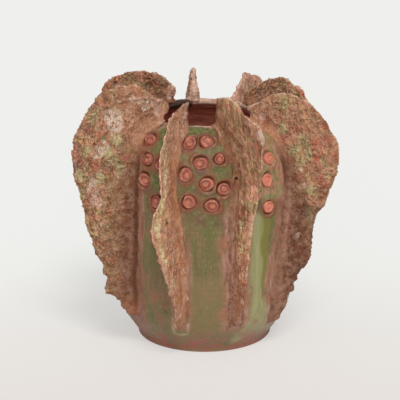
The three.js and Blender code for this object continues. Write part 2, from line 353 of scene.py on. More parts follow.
class Recipe(Nodes):
    """A material under construction, with its colour so far. Most methods give a node's output."""

    def __init__(self, name):
        self.material = bpy.data.materials.new(name)
        self.material.use_nodes = True
        super().__init__(self.material.node_tree)
        self.shader = self.tree.nodes["Principled BSDF"]
        self.where = self.add("TexCoord", {}).outputs["Object"]
        self.colour = None

    def noise(self, size, detail=3, rough=0.6, warp=0, stretch=1, seed=0):
        """Soft noise from 0 to 1 with features of about size millimetres. Each seed shifts it elsewhere."""
        shift = 0.37 * seed
        place = self.add("Mapping", {
            "Vector": self.where, "Scale": stretch if isinstance(stretch, tuple) else (1, 1, stretch),
            "Location": (shift, shift * 0.7, shift * 1.3),
        })
        return self.add("TexNoise", {
            "Vector": place.outputs["Vector"], "Scale": 1 / (size * MM), "Detail": detail, "Roughness": rough,
            "Distortion": warp,
        }).outputs["Fac"]

    def product(self, *factors):
        total = factors[0]
        for factor in factors[1:]:
            total = self.math("MULTIPLY", total, factor)
        return total

    def plus(self, a, b, share):
        """a and a share of b."""
        return self.math("ADD", a, self.product(b, share))

    def step(self, value, low, high, start=0, end=1):
        """Value mapped so that low gives start and high gives end, with a soft ramp."""
        ends = {"Value": value, "From Min": low, "From Max": high, "To Min": start, "To Max": end}
        return self.add("MapRange", ends, interpolation_type="SMOOTHSTEP").outputs["Result"]

    def patches(self, noise, low, high, start=0, end=1, seed=0):
        """Noise, given as (size, detail, roughness, warp, stretch) or by its size, mapped by step."""
        noise = noise if isinstance(noise, tuple) else (noise,)
        return self.step(self.noise(*noise, seed=seed), low, high, start, end)

    def worms(self, size, width, warp, stretch, seed):
        """Winding narrow lines, 1 along their middle."""
        field = self.noise(size, 1.5, 0.5, warp, stretch, seed)
        off = self.math("ABSOLUTE", self.math("SUBTRACT", field, 0.5), 0.0)
        return self.step(off, 0, width, 1, 0)

    def mix(self, share, *colours):
        """Two colours mixed, with a share of the second. Each is an output or three screen levels."""
        a, b = (rgb(*c) if isinstance(c, tuple) else c for c in colours)
        return self.add("Mix", {0: share, 6: a, 7: b}, data_type="RGBA").outputs[2]

    def dappled(self, noise, low, high, a, b, seed):
        """Colour a with patches of colour b."""
        return self.mix(self.patches(noise, low, high, seed=seed), a, b)

    def paint(self, colour, *shares):
        """Lays a colour over the recipe's colour, by the product of the shares."""
        self.colour = self.mix(self.product(*shares), self.colour, colour)

    def finish(self, roughness, height, depth, specular, coat=0):
        """Joins colour, roughness and a height field of some depth in millimetres to the shader."""
        bump = self.add("Bump", {"Strength": 1, "Distance": depth * MM, "Height": height})
        self.fill(self.shader, {
            "Base Color": self.colour, "Roughness": roughness, "Specular IOR Level": specular,
            "Coat Weight": coat, "Coat Roughness": 0.12, "Normal": bump.outputs["Normal"],
        })
        return self.material


def seam_clay(r):
    """The smoothed slip along the fins' roots, the same on the fins and the pot."""
    slip = r.dappled((5, 4, 0.65, 0.4, 0.3), 0.36, 0.64, (134, 88, 72), (176, 134, 118), 5)
    slip = r.mix(r.patches((9, 2, 0.6, 0.3, 0.6), 0.5, 0.64, 0, 0.8, 21), slip, (160, 102, 76))
    return r.mix(r.patches((3, 3, 0.65, 0.3, 0.5), 0.52, 0.7, 0, 0.6, 16), slip, (118, 98, 64))


def glaze_material():
    r = Recipe("olive glaze over red clay")
    # Olive and green, with streaks and hairs drawn down the wall, grit and thin patches.
    r.colour = r.dappled((20, 3, 0.6, 0.4, 0.55), 0.4, 0.66, (112, 97, 62), (98, 101, 52), 0)
    r.paint((134, 98, 76), r.patches((4.2, 3, 0.65, 0.15, 0.05), 0.48, 0.7, 0, 0.55, 2))
    hair = r.noise(1.7, 2, 0.6, 0.1, 0.07, 22)
    r.paint((84, 84, 48), r.step(hair, 0.5, 0.66, 0, 0.55))
    r.paint((150, 122, 92), r.patches((1.1, 2, 0.7, 0.2, 0.35), 0.52, 0.66, 0, 0.55, 35))
    r.paint((136, 92, 74), r.patches((17, 4, 0.62, 0.6, 0.6), 0.53, 0.66, 0, 0.55, 4))
    # The browner belt under the pellets, the mottled green among them, the runs on the right, and a pale
    # patch low on the right, partly glaze and partly a painted sheen.
    r.paint((104, 74, 56), "belt", r.patches((8, 4, 0.65, 0.5), 0.42, 0.6, 0, 0.8, 19))
    r.paint((94, 102, 46), "green", r.patches(5, 0.34, 0.6, seed=9))
    mottle = r.noise(3.6, 3, 0.65, 0.5, seed=42)
    r.paint((62, 72, 30), "green", r.step(mottle, 0.48, 0.58, 0, 0.85))
    r.paint((132, 130, 82), "green", r.step(mottle, 0.46, 0.36, 0, 0.6))
    run_and_sheen = r.dappled((3, 3, 0.6, 0.1, 0.05), 0.4, 0.62, (146, 144, 98), (160, 156, 112), 33)
    r.paint(run_and_sheen, "celadon_and_sheen", 0.9)
    r.paint((118, 114, 46), "yellow", 0.8)
    # Clay that shows through the glaze.
    blushing = r.patches((3.4, 4, 0.7, 0.3, 0.5), 0.4, 0.62, 0.1, 0.75, 25)
    r.paint((146, 94, 74), "blush", blushing)
    r.paint((132, 112, 76), "low_wall", 0.6)
    rosy = r.product("rosy", r.patches((3.6, 4, 0.65, 0.6, 0.4), 0.3, 0.56, 0.25, 1, 6))
    r.paint(seam_clay(r), rosy)
    r.paint((122, 76, 58), rosy, "ruddy")
    foot = r.dappled((11, 3, 0.6, 0.4, 1.6), 0.42, 0.6, (150, 88, 74), (126, 100, 72), 7)
    r.paint(foot, "foot")
    halo = r.dappled(9, 0.56, 0.66, (124, 72, 48), (106, 70, 60), 34)
    r.paint(halo, "halo", r.patches((4, 3, 0.6, 0.4), 0.3, 0.54, 0.4, 1, 20))
    lit = r.dappled((9, 3, 0.6, 0.5), 0.47, 0.57, (180, 134, 108), (140, 138, 88), 43)
    r.paint(lit, "lit", r.patches((3.4, 3, 0.65, 0.4, 0.5), 0.34, 0.56, 0.15, 0.8, 41))
    # Worn pocket lips with a painted highlight, the slip round the fin's foot, pale specks, bare clay, the
    # brim, and painted shade on its back and on the inside under it.
    pale = r.mix(r.noise(2.5, seed=8), (150, 106, 88), (182, 146, 126))
    r.paint(pale, "wear_and_highlight", r.patches(3, 0.4, 0.62, seed=3), 0.7)
    r.paint(r.mix(r.noise(3, seed=23), (150, 146, 104), (196, 190, 160)), "slip")
    r.paint((150, 150, 96), r.patches((1.6, 2, 0.6), 0.66, 0.74, 0, 0.35, 11))
    bare = r.dappled((5, 3, 0.6, 0.2, (0.3, 0.3, 3)), 0.38, 0.62, (188, 112, 92), (218, 144, 120), 12)
    r.paint(bare, "bare")
    r.paint(r.dappled(4, 0.36, 0.62, (160, 118, 102), (200, 166, 148), 17), "rim")
    # Painted shade on the back left of the brim and on the inside under the back rim.
    r.paint((50, 28, 21), "painted_back_shade")
    rough = r.plus(r.patches((4, 2, 0.6), 0.3, 0.7, 0.42, 0.6, 13), "wet", -0.22)
    rough = r.plus(r.plus(rough, "bare", 0.35), "rosy", 0.15)
    fine = r.plus(r.noise(2.2, seed=14), hair, 0.9)
    fine = r.plus(fine, "rosy", r.noise(3, 3, 0.65, 0.4, 0.35, 24))
    return r.finish(rough, fine, 0.4, 0.35, coat=r.product("wet", 0.15))


def fin_material():
    r = Recipe("rusty clay with an ash and olive wash")
    far, broad = r.math("SUBTRACT", 1.0, "root"), r.math("SUBTRACT", 1.0, "long")
    dapple = r.noise(2.2, 3, 0.65, 0.6, 0.75, 2)
    both = r.math("ADD", r.product("ridge", 0.45), r.product(dapple, 1.1))
    hollow = r.product(r.step(both, 0.76, 0.58), r.step("tone", 0, 1, 1.2, 0.8))

    def stain(high, low, *shares):
        """A stain with one colour on the ridges and another in the hollows."""
        r.paint(r.mix(hollow, high, low), *shares)

    # Rust and olive clay, darker in the hollows, partly its own colour and partly painted shade, with red and
    # mossy stains.
    rust = r.dappled((13, 3, 0.6, 0.5), 0.38, 0.62, (134, 80, 50), (160, 104, 68), 0)
    r.colour = r.mix(r.patches((24, 3, 0.6, 0.3), 0.46, 0.6, 0, 0.85, 1), rust, (128, 104, 64))
    # Lighter where the faces are marked lighter, partly random tone and partly painted light.
    r.paint((204, 150, 112), r.step("tone", 0.5, 1, 0, 0.4))
    r.paint((88, 49, 32), hollow, r.step(far, 0, 1, 0.5, 0.95))
    stain((180, 88, 58), (112, 48, 31), r.patches((8, 3, 0.55, 0.8, 0.6), 0.5, 0.6, 0, 0.65, 29), far)
    stain((148, 140, 86), (98, 84, 46), r.patches((10, 3, 0.55, 0.6), 0.53, 0.62, 0, 0.7, 13), far)
    # The pale wash on the ridges and in winding threads and veins.
    winding = r.product(r.worms(5.6, 0.11, 1.6, 0.7, 26), broad)
    upright = r.product(r.worms(4.4, 0.12, 0.7, 0.25, 27), "long")
    thread = r.product(r.math("ADD", winding, upright), r.patches((9, 2, 0.55), 0.4, 0.58, 0.25, 0.95, 28))
    high_up = r.math("MAXIMUM", r.step(both, 0.8, 0.95), thread)
    light = r.product(high_up, r.patches(19, 0.36, 0.6, 0.25, 1, 5), r.step("tone", 0, 1, 0.7, 1.3))
    wash = r.dappled((7, 3, 0.6, 0.4), 0.42, 0.56, (206, 186, 128), (232, 166, 138), 3)
    r.paint(wash, light, r.step(far, 0, 1, 0.12, 0.95))
    vein = r.product(r.worms(13, 0.045, 3, 0.6, 39), r.patches((8, 2, 0.55), 0.44, 0.58, seed=40), far, broad)
    r.paint((228, 196, 164), vein, 0.75)
    # Broad stains, and those that were marked from the photograph; among them the sunny and shaded marks are
    # painted light and painted shade.
    r.paint((130, 88, 54), "umber", r.patches((5, 3, 0.6, 0.3, 0.5), 0.36, 0.6, 0.35, 0.85, 32))
    r.paint((150, 82, 58), "rust", r.step(dapple, 0.32, 0.6, 0.9, 0.4))
    hue = r.product(r.step("tone", 0.5, 0.8, 0.35, 1), far)
    stain((184, 104, 76), (116, 56, 40), r.patches((4, 3, 0.6, 0.8), 0.52, 0.62, 0, 0.6, 37), hue)
    stain((170, 158, 106), (98, 86, 48), r.patches((4.4, 3, 0.6, 0.8), 0.54, 0.64, 0, 0.6, 38), hue)
    r.paint((208, 152, 118), "sunny", r.step(dapple, 0.25, 0.6, 0.2, 1))
    patchy = r.step(dapple, 0.3, 0.55, 0.35, 0.85)
    stain((176, 90, 66), (116, 54, 38), "ruby", patchy)
    stain((186, 184, 134), (116, 108, 62), "lichen", patchy)
    r.paint((128, 78, 46), "shaded", 0.45)
    r.paint((220, 184, 154), r.patches((1.5, 2, 0.7, 0.5), 0.6, 0.7, 0, 0.55, 6), far)
    # Bands along the roots and edges, bare slip, and marks laid over all of it.
    tan = r.dappled((4, 4, 0.65, 0.3, 0.3), 0.36, 0.64, (156, 96, 62), (190, 136, 100), 14)
    r.paint(tan, "tan", r.step(dapple, 0.3, 0.7, 0.45, 0.95))
    slip = r.dappled((3, 3, 0.6, 0.3, 0.5), 0.38, 0.6, (176, 126, 104), (224, 188, 168), 30)
    r.paint(slip, "pale", r.step(dapple, 0.28, 0.5, 0.35, 1))
    ochre = r.dappled((3, 4, 0.65, 0.3, 0.25), 0.38, 0.62, (128, 76, 44), (184, 124, 82), 42)
    r.paint(ochre, "ochre", 0.8)
    mauve = r.dappled((4, 4, 0.65, 0.5, 0.5), 0.36, 0.62, (110, 75, 58), (168, 128, 110), 36)
    r.paint(mauve, "mauve", r.step(dapple, 0.2, 0.5, 0.6, 1))
    # Painted shade at the fins' roots and low on the right.
    dusk = r.mix(r.noise(6, 3, 0.6, 0.3, 0.5, 7), (64, 30, 18), (102, 56, 34))
    r.paint(dusk, "dusk", 0.92)
    r.paint(seam_clay(r), "seam")
    streak = r.dappled((4, 3, 0.6, 0.2, 0.4), 0.4, 0.6, (178, 160, 104), (218, 204, 160), 15)
    r.paint(streak, "streak", r.patches((3, 3, 0.65), 0.34, 0.52, seed=19))
    cream = r.mix(r.noise(3, seed=8), (204, 176, 150), (234, 220, 204))
    r.paint(cream, "cream", r.patches((2.2, 3, 0.7, 0.6), 0.38, 0.52, seed=9))
    r.paint((70, 112, 50), "green")
    # Worn edges, which also carry a painted highlight.
    edge = r.dappled(6, 0.4, 0.6, (172, 116, 90), (218, 176, 152), 10)
    r.paint(edge, "wear_and_highlight", r.patches(4, 0.3, 0.52, seed=11))
    # Painted highlight on the crests high up, over their pale clay.
    r.paint((228, 188, 166), "crest", r.patches(7, 0.32, 0.5, 0.35, 1, 31))
    r.paint((34, 18, 14), "pin")
    rough = r.patches(5, 0.3, 0.7, 0.5, 0.74, 12)
    fine = r.plus(dapple, r.noise(1.3, 2, 0.6, seed=18), 0.4)
    fine = r.plus(r.product(fine, r.step(far, 0, 1, 0.6, 1)), vein, 0.35)
    return r.finish(rough, fine, 2.2, 0.25)


def pellet_material():
    r = Recipe("orange terracotta")
    r.colour = r.dappled(4, 0.36, 0.64, (142, 78, 64), (184, 112, 92), 0)
    r.paint((150, 84, 70), r.patches((16, 2, 0.5), 0.42, 0.58, 0, 0.75, 6))
    r.paint((192, 120, 88), "boss", r.patches(2, 0.3, 0.6, seed=5))
    r.paint((128, 66, 54), "groove", 0.45)
    # Painted shade on the pellet's foot, down in its pocket.
    r.paint((132, 78, 62), "low")
    # Pale tops: rubbed clay and a painted highlight.
    r.paint((204, 146, 124), "wear_and_highlight", r.patches(2.2, 0.46, 0.64, 0, 0.7, 1))
    r.paint((134, 92, 78), r.patches(4, 0.54, 0.66, 0, 0.8, 2))
    # Painted light: the right front pellets are made lighter.
    r.paint((236, 148, 122), "glow", 0.55)
    rough = r.patches((3, 2, 0.55), 0.3, 0.7, 0.4, 0.6, 3)
    return r.finish(rough, r.noise(1.3, seed=4), 0.35, 0.3)


glaze, fin_clay, pellet_clay = glaze_material(), fin_material(), pellet_material()


# Fins: each CAD fin remeshed finely, worn ragged at its edge, textured and smoothed into the wall

# Marks seen in the photograph on the fins, as (x, y, z, radius).
MARKS = {
    # Milky glaze.
    "cream": [
        (-67, -43, 183, 7), (-70, -44, 180, 4), (-75, -48, 167, 3), (-77, -48, 160, 4), (-85, -48, 135, 4),
        (-81, -48, 155, 3), (-58, -40, 189, 3), (-44, -34, 190, 4), (-52, -39, 160, 3), (71, -43, 92, 2.4),
        (73, -37, 143, 2.2), (76, -38, 130, 2.0), (41, -98, 185, 5), (-66, -42, 180, 6), (-71, -43, 185, 5),
        (-54, -37, 197, 2.5), (-49, -35, 196, 2.5), (-44, -32, 194, 2.5), (-80, -49, 162, 2.6),
        (-77, -49, 162, 2.6), (-73, -48, 163, 2.4),
    ],
    # Redder places, also along the front left fin's edge.
    "ruby": [
        (47, -28, 177, 4), (53, -31, 173, 3), (59, -32, 164, 4), (69, -36, 174, 4), (83, -38, 162, 5),
        (84, -39, 152, 5), (86, -40, 144, 4), (89, -40, 135, 5), (91, -40, 177, 5), (67, -35, 151, 4),
        (92, -40, 166, 5), (99, -41, 154, 5), (-66, -43, 177, 4), (-77, -47, 172, 4), (-87, -45, 178, 5),
        (-92, -46, 155, 5), (-97, -45, 161, 5), (-82, -49, 149, 5), (-85, -47, 128, 5), (-74, -48, 166, 3),
        (-58, -47, 155, 4), (-32, -76.5, 158, 2.3), (-32.2, -76.4, 152, 2.3), (-32.2, -76.4, 146, 2.3),
        (-31.8, -76.8, 140, 2.3), (-31.5, -77.1, 134, 2.3), (-37, -82, 120, 2.3), (-37, -85.6, 103, 2.3),
        (-36, -87, 98, 2.3), (-34.5, -88.2, 93, 2.3), (-31.5, -88.2, 84, 2.3),
    ],
    # Greyish green places.
    "lichen": [
        (74, -36, 164, 5), (76, -37, 160, 5), (68, -35, 156, 6), (78, -37, 153, 5), (72, -36, 149, 5),
        (61, -33, 196, 4), (60, -33, 192, 5), (58, -32, 173, 4), (93, -41, 138, 3), (91, -41, 146, 3),
        (89, -40, 150, 3), (81, -40, 127, 4), (79, -39, 109, 5), (-84, -44, 184, 5), (-74, -49, 160, 5),
        (-68, -49, 152, 5), (-63, -50, 147, 5), (-64, -45, 167, 5), (-95, -44, 139, 4), (-93, -44, 125, 4),
        (-78, -50, 139, 5), (-90, -47, 160, 5),
    ],
    # Painted shade in the brown hollow under the left fin's fold.
    "shaded": [(-50, -35, 187, 5), (-46, -33, 185, 6), (-41, -31, 184, 5)],
    # One spot of bright green glaze.
    "green": [(-75.2, -47.6, 170.3, 2.4)],
}
# Bare pinkish slip, in the same way.
SLIPPED = [
    (-16.1, -53.9, 191.6, 4), (-14.3, -48, 185.5, 4.5), (-14, -46.6, 180, 4), (-16.1, -51.1, 181.7, 4),
    (-17.5, -54.5, 176.5, 4), (39.5, -97.5, 187, 5), (-84.8, -47.3, 129.2, 5), (-81.1, -48.5, 121.7, 6),
    (-35, -28, 190, 4), (-35, -28, 184, 4.5), (-34, -28, 178, 4), (-40, -30, 194, 4),
    (-25.5, 28.2, 190, 3.5), (-26.5, 28, 184, 4), (34.5, -26, 183, 3), (43, -27, 180, 4),
    (-26.2, -71.6, 190.2, 2.2), (-24.7, -68.5, 191.7, 2.2), (-23, -64.4, 193, 2.2), (-19.5, -58, 195, 2.2),
    (-15.5, -51, 196.5, 2.4),
]
# Pinholes, as (x, y, z), and the larger hole at the front right fin's root.
PINS = [
    (-54.9, -50.2, 126.3), (-57.7, -51.1, 114.6), (-59, -51.3, 111.9), (-51.8, -50.7, 111.3),
    (-81.4, -48.1, 103.7), (-50.8, -51.1, 96.7), (-52.1, -51.3, 93.3), (16.4, -63.5, 187.3),
    (21.9, -72.3, 97.1), (-27.9, -77.6, 112.9), (-28.7, -79.7, 106.6), (-15.5, -72.8, 71.2), (-24, -70, 76),
    (-50, -50, 40),
]
HOLE = (23.5, -67.9, 144.4)
# Where a fin's edge swells out or is notched, as (x, y, z, reach, how far out).
SWELLS = [
    (-79, -40, 199, 9, 1.2), (-84, -41, 193, 8, 1.4), (-87, -42, 188, 6, 1), (-97, -42, 138, 8, 2.2),
    (-94, -42, 121, 6, 1.5), (-77, -42, 62, 7, 2.4), (-74, -43, 53, 6, 2.4), (-72.5, -44, 47, 5, 2.6),
    (-69.5, -45, 40, 4, -3), (-79, -42.5, 68, 2.5, -3), (-75.5, -42.5, 58, 2.2, -2.5),
    (-31.4, -25, 188, 7, 3), (-31.6, -26.6, 182, 5, 3), (-70, 34, 197.6, 9, 1.6), (-76, 34, 192, 6, 1),
    (66, 26, 195, 6, 0.6), (80, -40, 193, 7, 1), (84, -40.6, 188, 8, 1.3), (88.6, -40, 182, 8, 1.5),
    (92, -39.4, 177, 7, 1.3), (81, -39.3, 77, 5, 1.2), (79.5, -39.6, 72, 5, 2), (73.5, -39.3, 63, 3, -3),
    (71.4, -39.8, 58, 4, 1.5), (68.7, -40.7, 51.7, 2.5, -3), (66.5, -41.5, 46, 4, 2), (61.5, -42, 34, 5, 2),
    (27, -72, 30, 11, -3), (70.4, 23, 194, 4, -1.6), (-77.3, -39.8, 200.2, 5, 1.6),
    (-97.5, -42.8, 148, 7, 1.6), (-95.6, -41.8, 132, 6, 1.4), (81.4, -39.5, 80.5, 3, -2.6),
    (-82.2, -41.2, 77.8, 3.5, 2.4), (-65, -43.6, 36.4, 4, -2.4), (-15, -50, 196, 7, 2),
    (-20, -60, 195, 6, 1),
]
# Where a fin's face swells, in the same way.
BULGES = [
    (-12.8, 42, 204, 4, 1.3), (-9, 42, 204, 4, 1.3), (-9, 41, 188, 5, 1.6), (-8.6, 40.5, 184, 4, 1.4),
    (-16, 42, 192.5, 5, -1.5), (-17, 41, 179, 5, -0.8), (-8, 41, 178, 5, 1.6), (-10.2, -41, 178, 4, -1.5),
    (-10.5, -42, 174, 4, -1.2), (40, -98, 190, 3, -1),
]
# Folds that stand up from a fin's face, as lines of points.
FOLDS = [
    [
        (-65.1, -39.8, 195.4), (-60.2, -39, 196.4), (-55.1, -37.6, 196.8), (-49.9, -35.6, 197),
        (-44, -32.3, 196.8), (-38.8, -28.4, 195), (-33, -25, 190),
    ],
    [(7.7, -43.7, 178.9), (11.4, -51.2, 175.5), (14, -57, 166), (15, -61, 158)],
    [(23.2, -67.5, 143.9), (19, -66.5, 145.5)],
    [(-16.2, -73.3, 74.6), (-14, -71.5, 66), (-13.3, -69.8, 49.3)],
    [(37.2, -95.2, 187.5), (38.6, -97, 191), (41.5, -98.6, 191), (42.5, -99, 187), (41.1, -98.1, 182.4)],
]
# Streaks of pale glaze down the two front fins.
STREAKS = [
    [
        (-30.5, -76.8, 176.5), (-29.2, -74.8, 164.5), (-28.3, -72.8, 151), (-28.6, -75, 137),
        (-32.3, -79, 126.6), (-34.5, -81.4, 116.2), (-35.3, -83.3, 108.9), (-34.2, -84.4, 102.9),
        (-31.6, -86, 95.5), (-30.8, -87.6, 89.7), (-29.3, -87.6, 84.8),
    ],
    [(26.2, -75.9, 113.2), (28.4, -78.4, 99.9), (27, -77.9, 92)],
]
# The ochre band down the front left fin.
OCHRE = [
    (-22.7, -65.2, 154), (-24.2, -70.4, 132.4), (-22.1, -71.4, 117.2), (-20.6, -72.8, 105.9),
    (-19.9, -74.4, 94.7), (-19.9, -77.6, 72.1), (-18.5, -76.4, 47.8),
]

Work = namedtuple("Work", "stretch fillet dusk brown crest slip tone")
# How each fin is worked: how much its grain is stretched upward (less than 1 is more), how widely it is
# faired into the wall, how much painted shade lies at its root, how brown it looks, how strong the painted
# highlight on its crest is, how much bare slip it has, and how light it is, partly tone and partly painted
# light.
WORK = {
    "left": Work(0.75, 1, 1, 0, 0.25, 0, 0.3),
    "front_left": Work(0.45, 0.4, 0.1, 1, 1.3, 0.25, 0.8),
    "front_right": Work(0.28, 1, 0.3, 0.3, 1, 0, 0.6),
    "right": Work(0.7, 1, 1, 0, 1, 0, 0.85),
    "right_rear": Work(0.7, 1, 0.6, 0, 0.3, 0, 0.5),
    "rear_right": Work(0.4, 1, 0.2, 0.2, 0.7, 0.8, 0.5),
    "rear": Work(0.5, 0.3, 0.2, 0.2, 1, 0.95, 0.5),
    "rear_left": Work(0.7, 1, 0.6, 0, 0.3, 0, 0.5),
}
# How far a fin's end is drawn aside, as (from height, to height, right, up).
DRAWN = {"front_left": (46, 20, 0, 4.5), "rear": (172, 182, 1.9, -1.6)}
SEEN_WHOLE = ("left", "right", "front_left", "front_right")
# The fins that are seen nearly edge-on, and whose grain runs upright.
UPRIGHT = ("front_left", "front_right", "rear_right", "rear")


def fine_copy(node, blunt):
    """A CAD node's shape, smoothed unless it is blunt, and remeshed to even small faces."""
    mesh = node.data.copy()
    bm = bmesh.new()
    bm.from_mesh(mesh)
    bmesh.ops.remove_doubles(bm, verts=bm.verts, dist=1e-6)
    bm.to_mesh(mesh)
    bm.free()
    mesh.materials.clear()
    holder = place("shaping", mesh)
    soften = holder.modifiers.new("soften", "SUBSURF")
    soften.levels = soften.render_levels = 2
    soften.subdivision_type = "SIMPLE" if blunt else "CATMULL_CLARK"
    remesh = holder.modifiers.new("even faces", "REMESH")
    remesh.mode = "VOXEL"
    remesh.voxel_size = FIN_VOXEL * MM
    relax = holder.modifiers.new("relax", "SMOOTH")
    relax.factor = 0.5
    relax.iterations = 16 if blunt else 5
    made = bpy.data.meshes.new_from_object(holder.evaluated_get(bpy.context.evaluated_depsgraph_get()))
    bpy.data.objects.remove(holder)
    bpy.data.meshes.remove(mesh)
    return made


def blade_normals(points, normals, cell=5.0):
    """The direction across the slab at each point, from the normals of its neighbourhood."""
    where = np.floor(points / cell).astype(np.int64)
    where -= where.min(0) - 1
    size = where.max(0) + 2
    key = (where[:, 0] * size[1] + where[:, 1]) * size[2] + where[:, 2]
    total = np.zeros((size.prod(), 9))
    np.add.at(total, key, (normals[:, :, None] * normals[:, None, :]).reshape(-1, 9))
    around = np.zeros((len(points), 9))
    for step in np.ndindex(3, 3, 3):
        dx, dy, dz = np.array(step) - 1
        around += total[key + (dx * size[1] + dy) * size[2] + dz] * (2 if (dx, dy, dz) == (0, 0, 0) else 1)
    return np.linalg.eigh(around.reshape(-1, 3, 3))[1][:, :, 2]


def nearest(points, targets):
    """Index of and distance to the nearest target, for each point."""
    tree = KDTree(len(targets))
    for i, t in enumerate(targets):
        tree.insert(t, i)
    tree.balance()
    found = [tree.find(p)[1:] for p in points]
    return np.array([f[0] for f in found]), np.array([f[1] for f in found])


def crawled_skin(points, seed):
    """Winding ridges, as slip dries: about 0 in the hollows and 1 on the ridges."""
    bent = points + 1.5 * np.stack([grain(points, 4, seed + k) for k in range(3)], -1)
    wide = 1 - np.minimum(np.abs(grain(bent, 3.1, seed + 3)) * 3, 1)
    narrow = 1 - np.minimum(np.abs(grain(bent, 1.9, seed + 4)) * 2.4, 1)
    return np.clip(0.6 * wide + 0.5 * narrow + 0.35 * grain(bent, 7, seed + 5), 0, 1.2)


def add_swells(height, points, swells):
    """Adds to a height what each swell (x, y, z, reach, height) gives at the points."""
    for x, y, z, reach, out in swells:
        height += out * np.exp(-np.sum((points - (x, y, z)) ** 2, 1) / reach**2)


def edge_depth(seen, side, seed):
    """How far the ragged edge stands out: a smooth crest, and notched lobes low down."""
    low_down = fade(55, 110, seen[:, 2]) * (0.35 if side in UPRIGHT else 1)
    lobes = np.minimum(np.abs(grain(seen, 10, seed)) * 2.2, 1) * 3.6 - 2 + 0.9 * grain(seen, 4, seed + 1)
    crest = 0.7 * grain(seen, 13, seed + 2) + 0.3 * grain(seen, 4.5, seed + 8)
    depth = np.minimum(crest * (1 - low_down) + lobes * low_down + 0.5, EDGE_LIMIT)
    add_swells(depth, seen, SWELLS)
    return depth


roots = []
low_corner, high_corner = (np.array(c) / MM for c in cad_box)


def make_fin(node_name, seed):
    side = node_name.removeprefix("fin_")
    work = WORK[side]
    mesh = fine_copy(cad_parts[node_name], side == "rear")
    p, n = corners_of(mesh), rows_of(mesh, "normal")
    across = blade_normals(p, n)
    facing = np.sum(n * across, 1)
    rim = smooth(0.3, 0.75, 1 - np.abs(facing))
    spot, wall_out = wall_place(p)
    gap = lengths(p - spot)
    free = smooth(2, 9, gap)

    # The ragged edge, which carries the nearest part of the faces with it.
    on_edge = (rim > 0.5) & (gap > 3)
    which, edge_gap = nearest(p, p[on_edge])
    outward = n[on_edge] - facing[on_edge][:, None] * across[on_edge]
    outward /= lengths(outward)[:, None]
    depth = edge_depth(p[on_edge][which], side, seed)
    move = outward[which] * (depth * fade(0, EDGE_REACH, edge_gap) * free)[:, None]

    # Face relief: hand-pressed undulation, a wrinkled, crawling skin, folds, and rolls of clay low down.
    drawn = p * (1, 1, work.stretch)
    skin = crawled_skin(drawn, seed)
    relief = 0.6 * grain(p, 20, seed) + 0.5 * grain(drawn, 8, seed + 3) + SKIN_HEIGHT * (skin - 0.4)
    relief *= 0.2 + 0.8 * free
    fold = np.max([np.exp(-((line_gap(p, line) / FOLD_WIDTH) ** 2)) for line in FOLDS], axis=0)
    rolls = 0.9 * grain(p, 5.5, seed + 12) * fade(80, 110, p[:, 2]) * smooth(4, 10, gap)
    relief += fold + rolls
    add_swells(relief, p, BULGES)
    move += n * relief[:, None]

    # The root: sunk into the wall and spread along it in a hollow fillet, which stops short of the pockets.
    sideways = n - np.sum(n * wall_out, 1)[:, None] * wall_out
    up = np.clip(gap - JOINT_GAP, 0, FILLET)
    clear = np.min([lengths(p - seat.base) for seat in seats.values()], axis=0)
    hollow = FILLET - np.sqrt(FILLET**2 - (FILLET - up) ** 2)
    spread = hollow * smooth(POCKET_RADIUS + 0.5, POCKET_RADIUS + 4, clear) * work.fillet
    move += sideways * (spread * (1 + 0.35 * grain(p, 9, seed + 9)))[:, None]
    move -= wall_out * (ROOT_SINK * (1 - up / FILLET))[:, None]

    p += move
    start, end, right, up = DRAWN.get(side, (0, 1, 0, 0))
    p += smooth(start, end, p[:, 2])[:, None] * (right, 0, up)
    p = np.clip(p, low_corner + BOX_MARGIN, high_corner - BOX_MARGIN)
    mesh.vertices.foreach_set("co", (p * MM).ravel())
    mesh.update()
    roots.append(p[gap < ROOT_REACH])
    paint_fin(mesh, side, seed, p, gap, rim, skin, fold)
    piece(f"slab_fin_{side}", mesh, fin_clay, "fin_clay", node_name)


